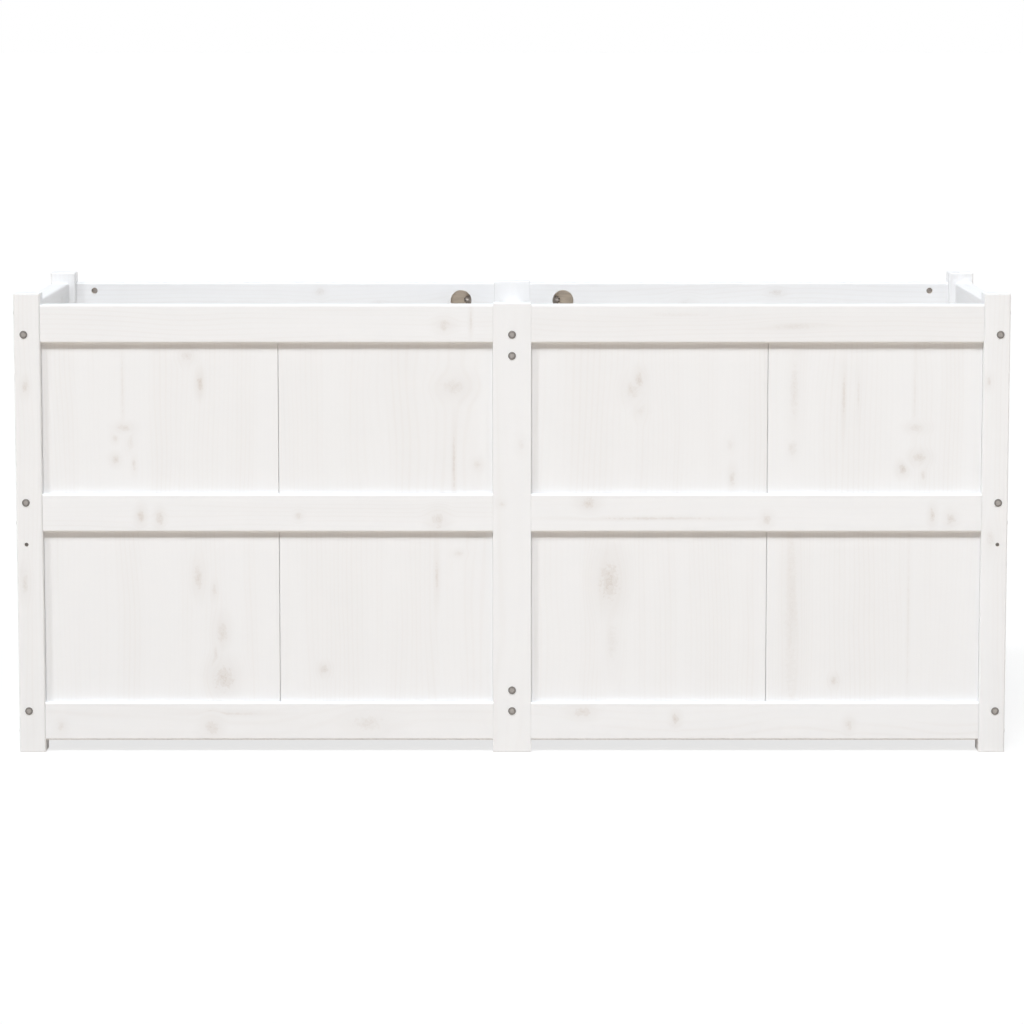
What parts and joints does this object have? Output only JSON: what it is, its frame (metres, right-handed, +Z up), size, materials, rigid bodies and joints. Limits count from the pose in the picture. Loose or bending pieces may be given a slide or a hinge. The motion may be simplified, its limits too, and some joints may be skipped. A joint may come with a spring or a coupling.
{
  "type": "wooden planter",
  "caption": "Long free-standing planter of white painted pine: bolted posts and grooved rails hold upright boards, with spreaders across the middle and a slatted floor.",
  "frame": {"origin": "on the ground, under the middle of the planter", "axes": "+X along the length, to the right as seen from the front; -Y is the front; +Z up"},
  "size_m": [1.5024, 0.5024, 0.7],
  "materials": {
    "frame_paint": "opaque white paint over planed pine, satin, grain and knots faintly showing",
    "board_paint": "thin white paint over edge-glued pine boards, satin, grain and knots faintly showing",
    "floor_paint": "white paint over pine slats, matt",
    "fixings": "dull plated steel"
  },
  "bodies": {
    "root": {"back_bottom_rail_left": "frame_paint", "back_bottom_rail_right": "frame_paint", "back_lower_left_narrow_board": "board_paint", "back_lower_left_wide_board": "board_paint", "back_lower_right_narrow_board": "board_paint", "back_lower_right_wide_board": "board_paint", "back_middle_rail_left": "frame_paint", "back_middle_rail_right": "frame_paint", "back_top_rail_left": "frame_paint", "back_top_rail_right": "frame_paint", "back_upper_left_narrow_board": "board_paint", "back_upper_left_wide_board": "board_paint", "back_upper_right_narrow_board": "board_paint", "back_upper_right_wide_board": "board_paint", "barrel_nuts": "fixings", "centre_post_back": "frame_paint", "centre_post_front": "frame_paint", "corner_bolts": "fixings", "corner_post_back_left": "frame_paint", "corner_post_back_right": "frame_paint", "corner_post_front_left": "frame_paint", "corner_post_front_right": "frame_paint", "floor_battens": "floor_paint", "floor_slats": "floor_paint", "front_bottom_rail_left": "frame_paint", "front_bottom_rail_right": "frame_paint", "front_lower_left_narrow_board": "board_paint", "front_lower_left_wide_board": "board_paint", "front_lower_right_narrow_board": "board_paint", "front_lower_right_wide_board": "board_paint", "front_middle_rail_left": "frame_paint", "front_middle_rail_right": "frame_paint", "front_top_rail_left": "frame_paint", "front_top_rail_right": "frame_paint", "front_upper_left_narrow_board": "board_paint", "front_upper_left_wide_board": "board_paint", "front_upper_right_narrow_board": "board_paint", "front_upper_right_wide_board": "board_paint", "left_bottom_rail": "frame_paint", "left_lower_back_board": "board_paint", "left_lower_front_board": "board_paint", "left_middle_rail": "frame_paint", "left_top_rail": "frame_paint", "left_upper_back_board": "board_paint", "left_upper_front_board": "board_paint", "lower_spreader": "frame_paint", "post_screws": "fixings", "right_bottom_rail": "frame_paint", "right_lower_back_board": "board_paint", "right_lower_front_board": "board_paint", "right_middle_rail": "frame_paint", "right_top_rail": "frame_paint", "right_upper_back_board": "board_paint", "right_upper_front_board": "board_paint", "saddle_washers": "fixings", "spreader_bolts": "fixings", "tie_nuts": "fixings", "tie_rods": "fixings", "upper_spreader": "frame_paint"}
  },
  "joints": []
}
